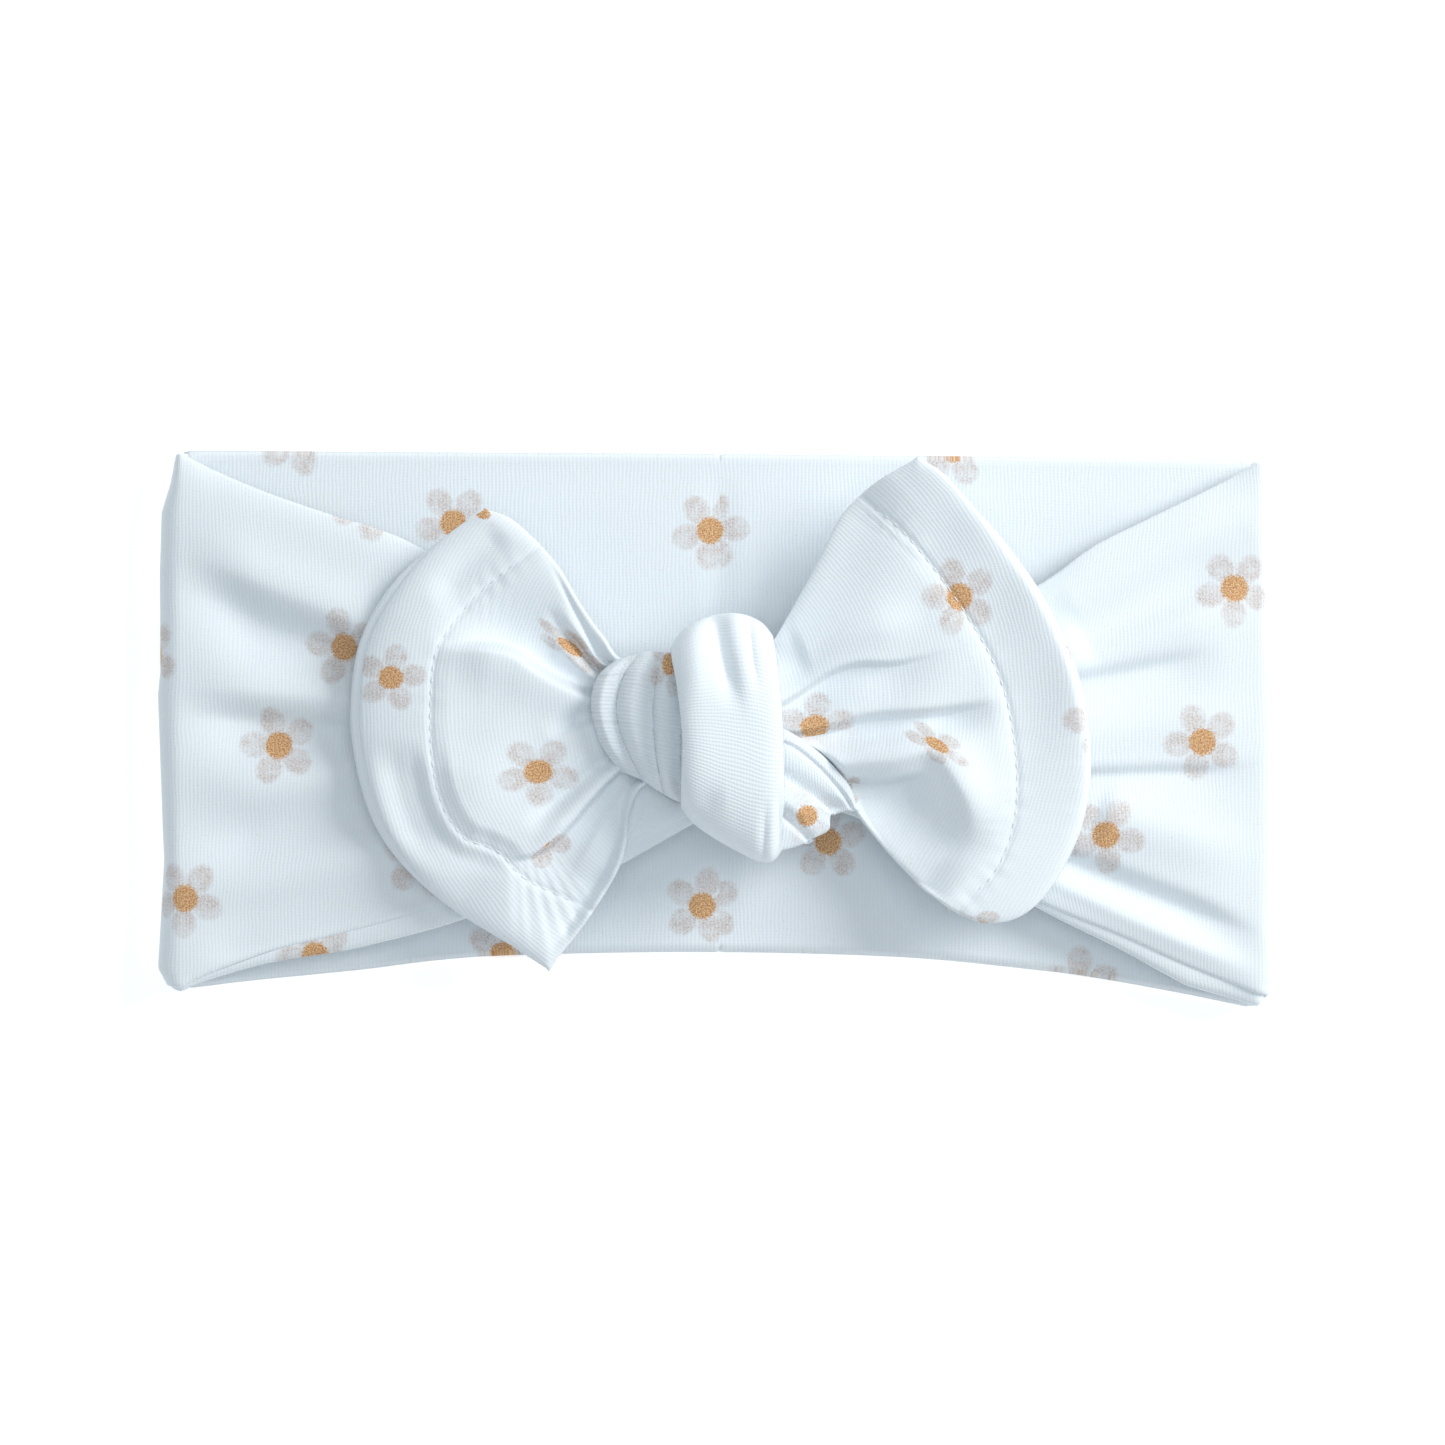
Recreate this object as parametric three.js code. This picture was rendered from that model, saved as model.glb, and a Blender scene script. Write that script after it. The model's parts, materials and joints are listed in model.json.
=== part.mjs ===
// A baby's knotted headband, lying folded flat: a tube of printed knit that goes round the head,
// with its two ends tied in one knot at the front and spread out as hemmed tails.
// Millimetres. +X runs along the band, +Y across it and +Z up from the table that it lies on.
// The loop is collapsed: the back lies on the table and the two gathered arms lie over it.
import * as THREE from "three";

// Driving dimensions.
const FLAT_WIDTH = 181; // across the loop, from side fold to side fold
const LAYER = 0.7; // one thickness of knit
const GAP = 0.3; // between neighbouring layers
const PITCH = LAYER + GAP; // from one layer's middle to the next one's
const FOLD_RADIUS = 4.2; // outside radius of the side folds
const FOLD_END = 20; // degrees below level at which a side fold stops, to let the arm swing open
const NECK_X = 13; // half the width of the stretch that the knot covers
const HINGE_GAP = 1.6; // between two stretches of one layer that bend against each other
const SEAM = 4.5; // width of the overlocked seam inside the tube
const HEM_START = 0.76; // how far out along a tail the hem's stitching runs
const THREAD_RADIUS = 0.3;
const KNOT_TOP = 27;
const KNOT_UNDER = 7;

const SIDE_X = FLAT_WIDTH / 2 - FOLD_RADIUS; // axis of each side fold
const TOP_Y = 43.7; // upper edge of the back at its middle
const BOTTOM_Y = -35.3; // lower edge of the back at its middle

const knit = new THREE.MeshStandardMaterial({ color: 0xeef3f8, roughness: 0.92, metalness: 0 });
const lining = new THREE.MeshStandardMaterial({ color: 0xe9edf2, roughness: 0.95, metalness: 0 });
const thread = new THREE.MeshStandardMaterial({ color: 0xf6f8fa, roughness: 0.7, metalness: 0 });

const headband = new THREE.Group();
const at = (x, y, z) => new THREE.Vector3(x, y, z);
const smooth = (t) => THREE.MathUtils.smoothstep(t, 0, 1);
const mix = THREE.MathUtils.lerp;

function add(name, geometry, material) {
  const mesh = new THREE.Mesh(geometry, material);
  mesh.name = name;
  headband.add(mesh);
  return mesh;
}

// A closed shell between two surfaces, each a function of u and v from 0 to 1.
function shell(upper, lower, cellsU, cellsV) {
  const points = [];
  const faces = [];
  const index = (side, i, j) => (side * (cellsU + 1) + i) * (cellsV + 1) + j;
  for (const surface of [upper, lower])
    for (let i = 0; i <= cellsU; i++)
      for (let j = 0; j <= cellsV; j++) points.push(...surface(i / cellsU, j / cellsV).toArray());
  const quad = (a, b, c, d) => faces.push(a, b, c, a, c, d);
  for (let i = 0; i < cellsU; i++)
    for (let j = 0; j < cellsV; j++) {
      quad(index(0, i, j), index(0, i + 1, j), index(0, i + 1, j + 1), index(0, i, j + 1));
      quad(index(1, i, j), index(1, i, j + 1), index(1, i + 1, j + 1), index(1, i + 1, j));
    }
  for (let i = 0; i < cellsU; i++) {
    quad(index(0, i, 0), index(1, i, 0), index(1, i + 1, 0), index(0, i + 1, 0));
    quad(index(0, i, cellsV), index(0, i + 1, cellsV), index(1, i + 1, cellsV), index(1, i, cellsV));
  }
  for (let j = 0; j < cellsV; j++) {
    quad(index(0, 0, j), index(0, 0, j + 1), index(1, 0, j + 1), index(1, 0, j));
    quad(index(0, cellsU, j), index(1, cellsU, j), index(1, cellsU, j + 1), index(0, cellsU, j + 1));
  }
  const geometry = new THREE.BufferGeometry();
  geometry.setAttribute("position", new THREE.Float32BufferAttribute(points, 3));
  geometry.setIndex(volume(points, faces) < 0 ? faces.reverse() : faces);
  geometry.computeVertexNormals();
  return geometry;
}

// Six times the signed volume inside the faces, negative when they point inwards.
function volume(points, faces) {
  const corner = (k) => at(...points.slice(3 * faces[k], 3 * faces[k] + 3));
  let sum = 0;
  for (let k = 0; k < faces.length; k += 3) sum += corner(k).dot(corner(k + 1).cross(corner(k + 2)));
  return sum;
}

// A layer of knit of one thickness, with its middle on a surface.
function layer(middle, cellsU, cellsV, lift = 0) {
  const raised = (dz) => (u, v) => middle(u, v).add(at(0, 0, lift + dz));
  return shell(raised(LAYER / 2), raised(-LAYER / 2), cellsU, cellsV);
}

// Part of a surface: u runs from u0 to u1, and v from v0(u) to v1(u), in the whole surface's terms.
function part(surface, u0, u1, v0, v1) {
  return (u, v) => {
    const along = mix(u0, u1, u);
    return surface(along, mix(v0(along), v1(along), v));
  };
}

// ---- The back of the band, flat on the table, in three stretches: nape, left and right ----

const backTop = (x) => TOP_Y - 0.008 * x;

function backBottom(x) {
  const drop = x < 0 ? 6.1 : 9.1; // how far each lower corner hangs below the middle
  return BOTTOM_Y - drop * Math.pow(Math.abs(x) / SIDE_X, 1.85);
}

function backStretch(name, x0, x1) {
  const strip = (low, high) => (u, v) => {
    const x = mix(x0, x1, u);
    return at(x, mix(low(x), high(x), v), 0);
  };
  const seamTop = (x) => backBottom(x) + SEAM;
  const cells = Math.ceil(Math.abs(x1 - x0) / 12);
  const inside = LAYER / 2 + PITCH;
  add(name + "_outer_layer", layer(strip(backBottom, backTop), cells, 1, LAYER / 2), knit);
  add(name + "_inner_layer", layer(strip((x) => seamTop(x) + GAP, backTop), cells, 1, inside), lining);
  add(name + "_seam", layer(strip((x) => backBottom(x) + GAP, seamTop), cells, 1, inside), lining);
}

backStretch("nape", -NECK_X + HINGE_GAP / 2, NECK_X - HINGE_GAP / 2);
backStretch("left_back", -SIDE_X, -NECK_X - HINGE_GAP / 2);
backStretch("right_back", NECK_X + HINGE_GAP / 2, SIDE_X);

// ---- The side folds, where the back turns over into the arms ----

// The lower part of the bend, from under its axis out to FOLD_END below level.
function sideFold(name, side, outside, material) {
  const arc = (radius) => (u, v) => {
    const angle = THREE.MathUtils.degToRad(mix(90, FOLD_END, u));
    const y = mix(backBottom(side * SIDE_X), backTop(side * SIDE_X), v);
    const x = SIDE_X + GAP + radius * Math.cos(angle);
    return at(side * x, y, FOLD_RADIUS - radius * Math.sin(angle));
  };
  add(name, shell(arc(outside), arc(outside - LAYER), 5, 1), material);
}

for (const [word, side] of [["left", -1], ["right", 1]]) {
  sideFold(word + "_fold_outer_layer", side, FOLD_RADIUS, knit);
  sideFold(word + "_fold_inner_layer", side, FOLD_RADIUS - PITCH, lining);
}

// ---- The arms, gathered from the side folds in to the knot ----

const ARM_END = NECK_X + 1.5; // where an arm stops, just outside the knot
const ARM_RUN = SIDE_X - ARM_END;
const ARM_PLEATS = 3; // soft gathers across each arm, deepest at the knot
const ARM_RISE = 2.2; // how much higher the arm lies at the knot than at the side fold
const arms = {
  left: { side: -1, top: (d) => 44.4 - 0.37 * d - 0.0000426 * d ** 3, bottom: (d) => 0.31 * d - 40.5 },
  right: { side: 1, top: (d) => 42.8 - 0.5 * d, bottom: (d) => 0.43 * d - 42.3 },
};

// The middle of an arm's outer layer, from the fold (u = 0) to the knot, and from its lower edge up.
function armSurface(arm) {
  return (u, v) => {
    const d = ARM_RUN * u;
    const pleat = 0.35 * smooth(u) * Math.cos(2 * Math.PI * ARM_PLEATS * v);
    const z = 2 * FOLD_RADIUS - LAYER / 2 + ARM_RISE * smooth(u) + pleat;
    return at(arm.side * (SIDE_X - d), mix(arm.bottom(d), arm.top(d), v), z);
  };
}

for (const [word, arm] of Object.entries(arms)) {
  const surface = armSurface(arm);
  const depth = (u) => arm.top(ARM_RUN * u) - arm.bottom(ARM_RUN * u);
  const edge = (u) => GAP / depth(u);
  const seamEnd = (u) => SEAM / depth(u);
  const innerStart = (u) => seamEnd(u) + GAP / depth(u);
  const toTop = () => 1;
  add(word + "_arm_outer_layer", layer(surface, 10, 18), knit);
  add(word + "_arm_inner_layer", layer(part(surface, 0, 1, innerStart, toTop), 10, 18, -PITCH), lining);
  add(word + "_arm_seam", layer(part(surface, 0, 1, edge, seamEnd), 10, 2, -PITCH), lining);
}

// ---- The knot ----

const WRAP_LEFT = -6; // the two edges of the strap that goes round the knot
const WRAP_RIGHT = 9.7;
const WRAP_TOP_Y = 17.5;
const WRAP_BOTTOM_Y = -20;
const STRAP = 2 * LAYER; // the strap is the whole tube, two layers together

function wrapSection(grow) {
  const middle = (WRAP_TOP_Y + WRAP_BOTTOM_Y) / 2;
  const height = (KNOT_TOP + KNOT_UNDER) / 2;
  const halfY = (WRAP_TOP_Y - WRAP_BOTTOM_Y) / 2 + grow;
  const halfZ = (KNOT_TOP - KNOT_UNDER) / 2 + grow;
  return [middle, height, halfY, halfZ, 0, 2 * Math.PI, false, 0];
}

// The strap: a flattened ring round the crossing, open at both sides.
function knotWrap() {
  const section = new THREE.Shape();
  section.absellipse(...wrapSection(0));
  const hole = new THREE.Path();
  hole.absellipse(...wrapSection(-STRAP));
  section.holes.push(hole);
  const ring = new THREE.ExtrudeGeometry(section, {
    depth: WRAP_RIGHT - WRAP_LEFT,
    bevelEnabled: false,
    curveSegments: 28,
  });
  // The section's X becomes Y, its Y becomes Z and its depth becomes X.
  ring.applyMatrix4(new THREE.Matrix4().makeBasis(at(0, 1, 0), at(0, 0, 1), at(1, 0, 0)));
  return ring.translate(WRAP_LEFT, 0, 0);
}

// A soft bundle of cloth: round about a line along X, from x0 to x1, and fat where bulge says.
function bundle(x0, x1, bulge, y, z, halfY, halfZ) {
  const steps = 10;
  const profile = [];
  for (let i = 0; i <= steps; i++) {
    const t = i / steps;
    const ends = i === 0 || i === steps;
    profile.push(new THREE.Vector2(ends ? 0 : bulge(t), mix(x0, x1, t)));
  }
  const round = new THREE.LatheGeometry(profile, 20);
  round.applyMatrix4(new THREE.Matrix4().makeBasis(at(0, 1, 0), at(1, 0, 0), at(0, 0, -1)));
  return round.scale(1, halfY, halfZ).translate(0, y, z);
}

const even = (t) => Math.pow(Math.sin(Math.PI * mix(0.12, 0.88, t)), 0.35);
const swelling = (t) => Math.sqrt(mix(0.12, 1, t));

add("knot_wrap", knotWrap(), knit);
add("knot_turn", bundle(-20.4, WRAP_LEFT - GAP, swelling, 0.7, 18.1, 12.3, 5.4), knit);
add("knot_core", bundle(WRAP_LEFT, WRAP_RIGHT, even, -1, 18.6, 11, 5.4), knit);
add("knot_lower_fold", bundle(WRAP_RIGHT + GAP, 18.5, even, -15.7, 14.4, 4, 2.8), knit);
add("left_neck", bundle(-NECK_X + 0.6, 1.6, even, -4.9, 11.2, 7.5, 1.3), knit);
add("right_neck", bundle(1.9, NECK_X - 0.6, even, -2.3, 11.2, 7.5, 1.3), knit);

// ---- The tails, two layers each, closed at the end by a stitched hem ----

const flatCurve = (...points) => new THREE.SplineCurve(points.map(([x, y]) => new THREE.Vector2(x, y)));

const tails = {
  left: {
    root: flatCurve([-21, 9], [-21.3, 2], [-19.6, -7.2]),
    end: flatCurve([-37.5, 35], [-49, 26], [-57, 5], [-53, -14.5], [-41, -29], [-27.3, -38]),
    upper: flatCurve([-21, 9], [-24, 21.5], [-37.5, 35]),
    lower: flatCurve([-19.6, -7.2], [-17, -21.5], [-27.3, -38]),
  },
  right: {
    root: flatCurve([10.4, 13.8], [13.4, 2.1], [18.9, -8.1]),
    end: flatCurve([31.1, 43], [44.3, 30.5], [56, 10], [58.2, -9.5], [51.4, -27], [38.8, -28.2]),
    upper: flatCurve([10.4, 13.8], [17.4, 30], [31.1, 43]),
    lower: flatCurve([18.9, -8.1], [25.5, -17], [38.8, -28.2]),
  },
};
const TAIL_ROOT_Z = 14.5; // middle of the back layer where it leaves the knot
const TAIL_END_Z = 12.2; // and at the hem, where it lies over the arm

// A patch between four edges in plan, blended from all of them.
function tailPoint(tail, u, v) {
  const across = tail.root.getPoint(v).lerp(tail.end.getPoint(v), u);
  const along = tail.upper.getPoint(u).lerp(tail.lower.getPoint(u), v);
  const near = tail.root.getPoint(0).lerp(tail.root.getPoint(1), v);
  const far = tail.end.getPoint(0).lerp(tail.end.getPoint(1), v);
  const plan = across.add(along).sub(near.lerp(far, u));
  const pleats = 0.7 * (1 - u) * Math.cos(6 * Math.PI * v);
  return at(plan.x, plan.y, mix(TAIL_ROOT_Z, TAIL_END_Z, smooth(u)) + pleats);
}

class Stitching extends THREE.Curve {
  constructor(tail, height) {
    super();
    this.tail = tail;
    this.height = height;
  }
  getPoint(t) {
    return tailPoint(this.tail, HEM_START, mix(0.02, 0.98, t)).add(at(0, 0, this.height));
  }
}

function threadAlong(curve) {
  const section = new THREE.Shape();
  section.absarc(0, 0, THREAD_RADIUS, 0, 2 * Math.PI);
  return new THREE.ExtrudeGeometry(section, { steps: 22, extrudePath: curve, curveSegments: 6 });
}

for (const [word, tail] of Object.entries(tails)) {
  const whole = (u, v) => tailPoint(tail, u, v);
  const hem = part(whole, HEM_START, 0.985, () => 0.015, () => 0.985);
  const front = 2 * PITCH;
  const onFront = front + LAYER / 2 + GAP + THREAD_RADIUS;
  add(word + "_tail_front_layer", layer(whole, 8, 12, front), knit);
  add(word + "_tail_back_layer", layer(whole, 8, 12), knit);
  add(word + "_tail_hem", layer(hem, 2, 12, PITCH), lining);
  add(word + "_tail_stitching", threadAlong(new Stitching(tail, onFront)), thread);
}

export default headband;
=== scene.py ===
"""A baby's knotted headband in printed rib knit, lying folded flat: the looks over the CAD frame.

The cloth is worked out in millimetres, in the frame's axes, and turned into metres when a mesh is made.
"""

import json
import math

import bmesh
import bpy
import numpy as np
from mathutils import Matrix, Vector


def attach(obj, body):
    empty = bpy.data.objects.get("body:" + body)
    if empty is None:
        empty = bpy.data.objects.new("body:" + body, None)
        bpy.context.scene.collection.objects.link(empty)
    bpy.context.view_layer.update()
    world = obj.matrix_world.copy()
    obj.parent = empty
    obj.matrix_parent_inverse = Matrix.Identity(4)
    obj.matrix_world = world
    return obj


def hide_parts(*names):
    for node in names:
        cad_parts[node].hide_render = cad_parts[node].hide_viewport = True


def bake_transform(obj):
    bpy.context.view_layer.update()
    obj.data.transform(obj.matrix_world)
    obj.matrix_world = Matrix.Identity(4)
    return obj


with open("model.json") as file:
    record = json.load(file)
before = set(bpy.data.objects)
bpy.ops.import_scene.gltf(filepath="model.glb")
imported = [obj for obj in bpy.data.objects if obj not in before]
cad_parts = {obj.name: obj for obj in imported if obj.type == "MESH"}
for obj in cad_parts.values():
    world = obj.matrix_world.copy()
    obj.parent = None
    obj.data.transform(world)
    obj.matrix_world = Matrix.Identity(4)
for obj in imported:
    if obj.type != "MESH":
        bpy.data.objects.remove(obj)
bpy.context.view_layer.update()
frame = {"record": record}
MM = 0.001
SIDES = {"left": -1, "right": 1}  # the two halves and their signs along X

# ---- Camera, shader nodes, floor and light ----

VIEW_CENTRE = (0.5, 1.1)  # mm, the middle of the view on the object
VIEW_WIDTH = 231.2  # mm across the view, at the object's height
VIEW_HEIGHT = 10.0  # mm above the floor at which that width holds
LENS = 100.0
SENSOR = 36.0


def new_object(name, data):
    thing = bpy.data.objects.new(name, data)
    bpy.context.collection.objects.link(thing)
    return thing


def new_mesh(name, vertices, faces):
    mesh = bpy.data.meshes.new(name)
    mesh.from_pydata(vertices, [], faces)
    return mesh


camera_data = bpy.data.cameras.new("camera")
camera_data.lens = LENS
camera_data.sensor_width = SENSOR
camera = new_object("camera", camera_data)
distance = VIEW_WIDTH * LENS / SENSOR
camera.location = Vector((*VIEW_CENTRE, VIEW_HEIGHT + distance)) * MM
bpy.context.scene.camera = camera
bpy.context.scene.view_settings.view_transform = "Standard"


def linear(red, green, blue):
    """A screen colour, 0 to 255, as the linear colour that a shader takes."""
    def channel(value):
        value /= 255
        return value / 12.92 if value <= 0.04045 else ((value + 0.055) / 1.055) ** 2.4
    return (channel(red), channel(green), channel(blue), 1.0)


class Nodes:
    """Short ways to add shader nodes to one tree."""

    def __init__(self, tree):
        self.tree = tree

    def add(self, kind, inputs=(), **settings):
        node = self.tree.nodes.new(kind)
        for key, value in settings.items():
            setattr(node, key, value)
        self.give(node, inputs)
        return node

    def give(self, node, inputs):
        """Set a node's sockets, each to a value or linked to another socket."""
        for key, value in dict(inputs).items():
            if isinstance(value, bpy.types.NodeSocket):
                self.tree.links.new(value, node.inputs[key])
            else:
                node.inputs[key].default_value = value

    def math(self, operation, a, b=0.0, c=0.0):
        return self.add("ShaderNodeMath", {0: a, 1: b, 2: c}, operation=operation).outputs[0]

    def wave(self, turns):
        """A smooth wave between 0 and 1, highest at each whole turn."""
        swing = self.math("COSINE", self.math("MULTIPLY", turns, 2 * math.pi))
        return self.math("MULTIPLY_ADD", swing, 0.5, 0.5)

    def blend(self, factor, a, b):
        node = self.add("ShaderNodeMix", {0: factor, 6: a, 7: b}, data_type="RGBA")
        return node.outputs[2]

    def noise(self, vector, scale, detail=2.0):
        inputs = {"Vector": vector, "Scale": scale, "Detail": detail}
        return self.add("ShaderNodeTexNoise", inputs).outputs["Fac"]

    def step(self, value, low, high, to_low=0.0, to_high=1.0):
        """value from low to high, eased, as to_low to to_high."""
        inputs = {"Value": value, 1: low, 2: high, 3: to_low, 4: to_high}
        return self.add("ShaderNodeMapRange", inputs, interpolation_type="SMOOTHSTEP").outputs[0]


def new_material(name):
    material = bpy.data.materials.new(name)
    material.use_nodes = True
    return material, Nodes(material.node_tree), material.node_tree.nodes["Principled BSDF"]


def make_floor():
    half, drop = 3.0, 0.0002  # m: half its width, and how far it lies below the cloth
    corners = [(-half, -half, 0), (half, -half, 0), (half, half, 0), (-half, half, 0)]
    mesh = new_mesh("floor", corners, [(0, 1, 2, 3)])
    floor = new_object("floor", mesh)
    floor.location.z = -drop
    material, n, shader = new_material("floor_paper")
    n.give(shader, {"Base Color": (0.97, 0.975, 0.98, 1), "Roughness": 0.95, "Specular IOR Level": 0.0,
                    "Emission Color": (1, 1, 1, 1), "Emission Strength": 0.42})
    mesh.materials.append(material)


def make_light(name, place, size, power, colour):
    data = bpy.data.lights.new(name, "AREA")
    data.shape = "DISK"
    data.size = size
    data.energy = power
    data.color = colour
    light = new_object(name, data)
    light.location = place
    light.rotation_euler = (-Vector(place)).to_track_quat("-Z", "Y").to_euler()


def make_lights():
    make_light("window", (0.57, 0.315, 0.42), 0.42, 3.85, (1.0, 0.995, 0.985))
    make_light("overhead", (0.15, 0.1, 1.5), 1.0, 4.4, (0.95, 0.98, 1.0))
    world = bpy.data.worlds.new("studio")
    world.use_nodes = True
    n = Nodes(world.node_tree)
    n.give(n.tree.nodes["Background"], {"Color": (0.85, 0.935, 1.0, 1), "Strength": 0.44})
    bpy.context.scene.world = world


make_floor()
make_lights()

# ---- Curves, patches and folds of cloth ----


def run_along(points):
    """How far each point of a line is from its start, measured along it."""
    return np.concatenate([[0], np.cumsum(np.linalg.norm(np.diff(points, axis=0), axis=1))])


def curve(points, count):
    """A smooth curve through the points, as count points evenly spaced along it."""
    knots = np.array(points, float)
    padded = np.vstack([2 * knots[0] - knots[1], knots, 2 * knots[-1] - knots[-2]])
    fine = []
    for a, b, c, d in zip(padded, padded[1:], padded[2:], padded[3:]):
        for t in np.linspace(0, 1, 16, endpoint=False):
            fine.append(0.5 * (2 * b + (c - a) * t + (2 * a - 5 * b + 4 * c - d) * t**2
                               + (3 * b - a - 3 * c + d) * t**3))
    fine = np.array(fine + [knots[-1]])
    along = run_along(fine)
    where = np.linspace(0, along[-1], count)
    return np.stack([np.interp(where, along, fine[:, axis]) for axis in range(fine.shape[1])], 1)


def read_off(points, place):
    """The second value of a line of points at each place along its first value."""
    points = np.array(points)
    order = np.argsort(points[:, 0])
    return np.interp(place, points[order, 0], points[order, 1])


def along_curve(points, place):
    return read_off(curve(points, 240), place)


def patch(root, end, lower, upper, cells):
    """A plan patch between four edges: u runs from root to end, and v from lower to upper."""
    count_u, count_v = cells
    near, far = curve(root, count_v), curve(end, count_v)
    low, high = curve(lower, count_u), curve(upper, count_u)
    u = np.linspace(0, 1, count_u)[:, None, None]
    v = np.linspace(0, 1, count_v)[None, :, None]
    across = (1 - u) * near[None] + u * far[None]
    along = (1 - v) * low[:, None] + v * high[:, None]
    corners = (1 - u) * ((1 - v) * near[0] + v * near[-1]) + u * ((1 - v) * far[0] + v * far[-1])
    return across + along - corners


def smooth(value, low=0.0, high=1.0):
    t = np.clip((value - low) / (high - low), 0, 1)
    return t * t * (3 - 2 * t)


def near_path(plan, points):
    """For each plan point: its distance from the path, positive to the left, and its share along it."""
    path = curve(points, 28)
    flat = plan.reshape(-1, 2)
    best = np.full(len(flat), np.inf)
    signed = np.zeros(len(flat))
    share = np.zeros(len(flat))
    steps = len(path) - 1
    for index in range(steps):
        start, step = path[index], path[index + 1] - path[index]
        t = np.clip(((flat - start) @ step) / (step @ step), 0, 1)
        offset = flat - start - t[:, None] * step
        gap = np.hypot(offset[:, 0], offset[:, 1])
        closer = gap < best
        side = np.sign(step[0] * offset[:, 1] - step[1] * offset[:, 0])
        best = np.where(closer, gap, best)
        signed = np.where(closer, gap * side, signed)
        share = np.where(closer, (index + t) / steps, share)
    return signed.reshape(plan.shape[:2]), share.reshape(plan.shape[:2])


def crease(plan, points, height, left, right, fade_in, fade_out):
    """A ridge (or a valley, when height is negative) along a path, left and right mm wide on its two
    sides. It grows over the first fade_in of its length and dies out over the last fade_out."""
    gap, share = near_path(plan, points)
    width = np.where(gap > 0, left, right)
    fade = np.ones_like(share)
    if fade_in:
        fade *= smooth(share, 0, fade_in)
    if fade_out:
        fade *= 1 - smooth(share, 1 - fade_out, 1)
    return height * fade * np.exp(-((gap / width) ** 2))


def folds(plan, table):
    """The height of a table of creases, each row holding what crease takes after the plan."""
    return sum(crease(plan, *row) for row in table)


def ledge(plan, points, drop, width):
    """A step down by drop, width mm wide, on the left-hand side of a path."""
    gap, share = near_path(plan, points)
    return -drop * smooth(gap, 0, width) * (1 - smooth(share, 0.7, 1))


def wander(plan, size, seed):
    """Gentle unevenness about size mm across, mostly between -1 and 1, the same on each run."""
    rng = np.random.default_rng(seed)
    total = np.zeros(plan.shape[:2])
    for _ in range(7):
        angle, phase = rng.uniform(0, 2 * math.pi, 2)
        pitch = size * rng.uniform(0.7, 1.6)
        along = plan[..., 0] * math.cos(angle) + plan[..., 1] * math.sin(angle)
        total += np.sin(2 * math.pi * along / pitch + phase)
    return total / 4


def lengths(points, axis):
    """How far each point is along its grid line, measured over the folds."""
    steps = np.linalg.norm(np.diff(points, axis=axis), axis=2)
    zero = np.zeros_like(np.take(steps, [0], axis=axis))
    return np.concatenate([zero, np.cumsum(steps, axis=axis)], axis=axis)


def shares(cells):
    """How far along a grid each of its rows and each of its columns is, from 0 to 1."""
    return np.linspace(0, 1, cells[0])[:, None], np.linspace(0, 1, cells[1])[None]


def plan_grid(x, low, high, count):
    """A plan of straight lines across, one at each x, from low to high there."""
    v = np.linspace(0, 1, count)
    y = low[:, None] + (high - low)[:, None] * v[None]
    return np.stack([np.repeat(x[:, None], count, 1), y], 2)


def normals(points):
    along = np.gradient(points, axis=0)
    across = np.gradient(points, axis=1)
    up = np.cross(along, across)
    return up / np.maximum(np.linalg.norm(up, axis=2, keepdims=True), 1e-9)


def ring(rows, columns):
    """An index that picks the points of a grid's border, once round."""
    top = [(0, j) for j in range(columns)]
    right = [(i, columns - 1) for i in range(1, rows)]
    bottom = [(rows - 1, j) for j in range(columns - 2, -1, -1)]
    left = [(i, 0) for i in range(rows - 2, 0, -1)]
    return tuple(np.array(top + right + bottom + left).T)


def rounded_rim(points, under, up, border, thickness):
    """The outermost line of a sheet's rounded edge, half way between its two faces."""
    edge = points[border]
    ahead = np.roll(edge, -1, 0) - np.roll(edge, 1, 0)
    outward = np.cross(ahead, up[border])
    outward /= np.maximum(np.linalg.norm(outward, axis=1, keepdims=True), 1e-9)
    middle = points.reshape(-1, 3).mean(0)
    if ((edge - middle) * outward).sum() < 0:
        outward = -outward
    return (edge + under[border]) / 2 + outward * thickness / 2


def sheet_faces(rows, columns, border):
    """The faces of a closed sheet: the upper ones, those under them, and the rim's two strips."""
    size = rows * columns
    index = np.arange(size).reshape(rows, columns)
    quads = np.stack([index[:-1, :-1], index[1:, :-1], index[1:, 1:], index[:-1, 1:]], 2).reshape(-1, 4)
    above = index[border]
    rim = 2 * size + np.arange(len(above))
    strip = np.stack([above, np.roll(above, -1), np.roll(rim, -1), rim], 1)
    strip_under = np.stack([rim, np.roll(rim, -1), np.roll(above, -1) + size, above + size], 1)
    return np.vstack([quads, quads[:, ::-1] + size, strip, strip_under])


def add_maps(mesh, cloth, printed, border):
    """Give each corner of each face its own place in the two maps. The underside shows other flowers at
    the same place, and the rim's corners, also those of its lower half, keep to the upper face's."""
    size = cloth.shape[0] * cloth.shape[1]
    corner = np.empty(len(mesh.loops), int)
    mesh.loops.foreach_get("vertex_index", corner)
    on_upper = corner.copy()
    lower_rim = on_upper[-4 * len(border[0]):]
    lower_rim -= size * (lower_rim < 2 * size)
    maps = [("cloth", cloth, cloth, corner), ("print", printed, printed * np.array([1, -1]), on_upper)]
    for label, upper_face, lower_face, where in maps:
        values = np.vstack([upper_face.reshape(-1, 2), lower_face.reshape(-1, 2), upper_face[border]])
        mesh.uv_layers.new(name=label).data.foreach_set("uv", values[where].ravel())


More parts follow.
